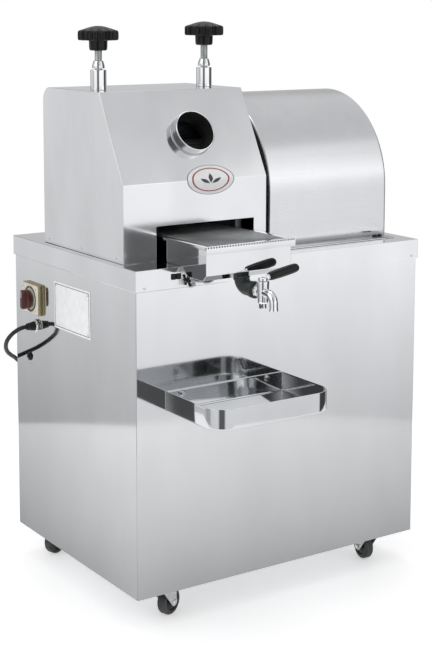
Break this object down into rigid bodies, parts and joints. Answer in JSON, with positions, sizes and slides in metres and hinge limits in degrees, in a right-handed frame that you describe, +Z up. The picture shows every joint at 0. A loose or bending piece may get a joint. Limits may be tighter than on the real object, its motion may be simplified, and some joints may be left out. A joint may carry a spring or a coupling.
{
  "type": "electric sugarcane juicer",
  "caption": "Electric sugarcane juicer: fluted rollers under a hood on a wheeled stainless cabinet, with a half-barrel drive cover, juice trough, tap and cup tray.",
  "frame": {"origin": "centre of the footprint, on the floor, measured without the loose cord", "axes": "+Z up; -Y towards the person at the tap; +X towards the drive cover"},
  "size_m": [0.6774, 0.7644, 1.05],
  "materials": {
    "polished_steel": "folded stainless sheet with a bright polish",
    "satin_steel": "satin stainless steel",
    "chrome": "bright chrome plate",
    "zinc": "zinc-plated steel",
    "cast_metal": "painted iron casting",
    "black_plastic": "black moulded plastic",
    "black_rubber": "black rubber",
    "cream_plastic": "off-white moulded plastic",
    "red_plastic": "dark red moulded plastic",
    "dark_fitting": "dark grey fitting"
  },
  "bodies": {
    "cabinet": {"left_side_panel": "polished_steel", "right_side_panel": "polished_steel", "front_panel": "polished_steel", "rear_panel": "polished_steel", "base_plate": "satin_steel", "worktop": "polished_steel", "motor_mount": "zinc", "motor_housing": "cast_metal", "drive_belt": "black_rubber", "gear_reducer": "cast_metal", "drive_cover": "polished_steel", "head_left_plate": "satin_steel", "head_right_plate": "satin_steel", "tie_bar_front": "satin_steel", "tie_bar_rear": "satin_steel", "turner_plate": "satin_steel", "head_hood": "polished_steel", "feed_tube": "polished_steel", "bagasse_chute": "satin_steel", "left_screw_sleeve": "chrome", "right_screw_sleeve": "chrome", "cup_tray": "polished_steel", "switch_plate": "cream_plastic", "cord_gland": "black_plastic", "power_cord": "black_rubber", "cord_coil": "black_rubber", "plug": "black_rubber"},
    "input_shaft": {"driven_pulley": "cast_metal"},
    "motor_rotor": {"motor_pulley": "cast_metal"},
    "rear_roller_shaft": {"rear_roller": "satin_steel", "rear_roller_gear": "zinc", "output_coupling": "zinc"},
    "front_roller_shaft": {"front_roller": "satin_steel", "front_roller_gear": "zinc"},
    "pressure_carriage": {"left_bearing_block": "satin_steel", "right_bearing_block": "satin_steel"},
    "top_roller_shaft": {"top_roller": "satin_steel", "top_roller_gear": "zinc"},
    "left_nut": {"left_lock_nut": "chrome"},
    "left_screw": {"left_pressure_screw": "zinc", "left_star_knob": "black_plastic"},
    "right_nut": {"right_lock_nut": "chrome"},
    "right_screw": {"right_pressure_screw": "zinc", "right_star_knob": "black_plastic"},
    "trough": {"juice_trough": "polished_steel", "outlet_elbow": "dark_fitting", "tap_body": "chrome"},
    "strainer": {"strainer_screen": "polished_steel"},
    "tap_lever": {"tap_plug": "chrome", "tap_grip": "black_plastic"},
    "switch_rotor": {"switch_knob": "red_plastic"},
    "reset_plunger": {"reset_button": "black_plastic"},
    "caster_swivel_front_left": {"caster_fork_front_left": "zinc"},
    "caster_axle_front_left": {"caster_wheel_front_left": "black_rubber"},
    "caster_swivel_front_right": {"caster_fork_front_right": "zinc"},
    "caster_axle_front_right": {"caster_wheel_front_right": "black_rubber"},
    "caster_swivel_rear_left": {"caster_fork_rear_left": "zinc"},
    "caster_axle_rear_left": {"caster_wheel_rear_left": "black_rubber"},
    "caster_swivel_rear_right": {"caster_fork_rear_right": "zinc"},
    "caster_axle_rear_right": {"caster_wheel_rear_right": "black_rubber"}
  },
  "joints": [
    {"name": "input_pulley_spin", "type": "hinge", "parent": "cabinet", "child": "input_shaft", "pos_m": [0.25475, 0.0975, 0.733], "axis": [1, 0, 0], "continuous": true},
    {"name": "motor_spin", "type": "hinge", "parent": "cabinet", "child": "motor_rotor", "pos_m": [0.25475, 0.0975, 0.198], "axis": [1, 0, 0], "continuous": true},
    {"name": "rear_roller_spin", "type": "hinge", "parent": "cabinet", "child": "rear_roller_shaft", "pos_m": [-0.13675, 0.1085, 0.79066], "axis": [1, 0, 0], "continuous": true},
    {"name": "front_roller_spin", "type": "hinge", "parent": "cabinet", "child": "front_roller_shaft", "pos_m": [-0.13675, -0.0075, 0.79832], "axis": [1, 0, 0], "continuous": true},
    {"name": "top_roller_spin", "type": "hinge", "parent": "pressure_carriage", "child": "top_roller_shaft", "pos_m": [-0.13675, 0.0545, 0.855], "axis": [1, 0, 0], "continuous": true},
    {"name": "left_knob_turn", "type": "hinge", "parent": "left_nut", "child": "left_screw", "pos_m": [-0.24925, 0.0545, 1], "axis": [0, 0, 1], "range_deg": [0, 720]},
    {"name": "left_screw_rise", "type": "slide", "parent": "cabinet", "child": "left_nut", "axis": [0, 0, 1], "range_m": [0, 0.004]},
    {"name": "right_knob_turn", "type": "hinge", "parent": "right_nut", "child": "right_screw", "pos_m": [-0.02425, 0.0545, 1], "axis": [0, 0, 1], "range_deg": [0, 720]},
    {"name": "right_screw_rise", "type": "slide", "parent": "cabinet", "child": "right_nut", "axis": [0, 0, 1], "range_m": [0, 0.004]},
    {"name": "pressure_carriage_rise", "type": "slide", "parent": "cabinet", "child": "pressure_carriage", "axis": [0, 0, 1], "range_m": [0, 0.004]},
    {"name": "trough_pull_out", "type": "slide", "parent": "cabinet", "child": "trough", "axis": [0, -1, 0], "range_m": [0, 0.36]},
    {"name": "strainer_pull_off", "type": "slide", "parent": "trough", "child": "strainer", "axis": [0, -1, 0], "range_m": [0, 0.2]},
    {"name": "tap_lever_turn", "type": "hinge", "parent": "trough", "child": "tap_lever", "pos_m": [-0.11725, -0.2685, 0.6012], "axis": [0, 0, -1], "range_deg": [0, 90]},
    {"name": "switch_turn", "type": "hinge", "parent": "cabinet", "child": "switch_rotor", "pos_m": [-0.31725, 0.2265, 0.526], "axis": [1, 0, 0], "range_deg": [-60, 60]},
    {"name": "reset_press", "type": "slide", "parent": "cabinet", "child": "reset_plunger", "axis": [1, 0, 0], "range_m": [0, 0.002], "stiffness_N_per_m": 200},
    {"name": "caster_swivel_turn_front_left", "type": "hinge", "parent": "cabinet", "child": "caster_swivel_front_left", "pos_m": [-0.22425, -0.1165, 0.062], "axis": [0, 0, 1], "continuous": true},
    {"name": "caster_wheel_roll_front_left", "type": "hinge", "parent": "caster_swivel_front_left", "child": "caster_axle_front_left", "pos_m": [-0.20663, -0.10938, 0.02462], "axis": [-0.3746, 0.9272, 0], "continuous": true},
    {"name": "caster_swivel_turn_front_right", "type": "hinge", "parent": "cabinet", "child": "caster_swivel_front_right", "pos_m": [0.24975, -0.1165, 0.062], "axis": [0, 0, 1], "continuous": true},
    {"name": "caster_wheel_roll_front_right", "type": "hinge", "parent": "caster_swivel_front_right", "child": "caster_axle_front_right", "pos_m": [0.25239, -0.09768, 0.02462], "axis": [-0.9903, 0.1392, 0], "continuous": true},
    {"name": "caster_swivel_turn_rear_left", "type": "hinge", "parent": "cabinet", "child": "caster_swivel_rear_left", "pos_m": [-0.22425, 0.2665, 0.062], "axis": [0, 0, 1], "continuous": true},
    {"name": "caster_wheel_roll_rear_left", "type": "hinge", "parent": "caster_swivel_rear_left", "child": "caster_axle_rear_left", "pos_m": [-0.2421, 0.26, 0.02462], "axis": [0.342, -0.9397, 0], "continuous": true},
    {"name": "caster_swivel_turn_rear_right", "type": "hinge", "parent": "cabinet", "child": "caster_swivel_rear_right", "pos_m": [0.24975, 0.2665, 0.062], "axis": [0, 0, 1], "continuous": true},
    {"name": "caster_wheel_roll_rear_right", "type": "hinge", "parent": "caster_swivel_rear_right", "child": "caster_axle_rear_right", "pos_m": [0.2319, 0.273, 0.02462], "axis": [-0.342, -0.9397, 0], "continuous": true}
  ],
  "couplings": [
    {"joint": "motor_spin", "follows": "input_pulley_spin", "ratio": 4.7129},
    {"joint": "rear_roller_spin", "follows": "input_pulley_spin", "ratio": 0.066667},
    {"joint": "front_roller_spin", "follows": "input_pulley_spin", "ratio": 0.066667},
    {"joint": "top_roller_spin", "follows": "input_pulley_spin", "ratio": -0.066667},
    {"joint": "left_screw_rise", "follows": "pressure_carriage_rise", "ratio": 1},
    {"joint": "right_screw_rise", "follows": "pressure_carriage_rise", "ratio": 1},
    {"joint": "left_knob_turn", "follows": "pressure_carriage_rise", "rad_per_m": 3141.6},
    {"joint": "right_knob_turn", "follows": "pressure_carriage_rise", "rad_per_m": 3141.6}
  ]
}
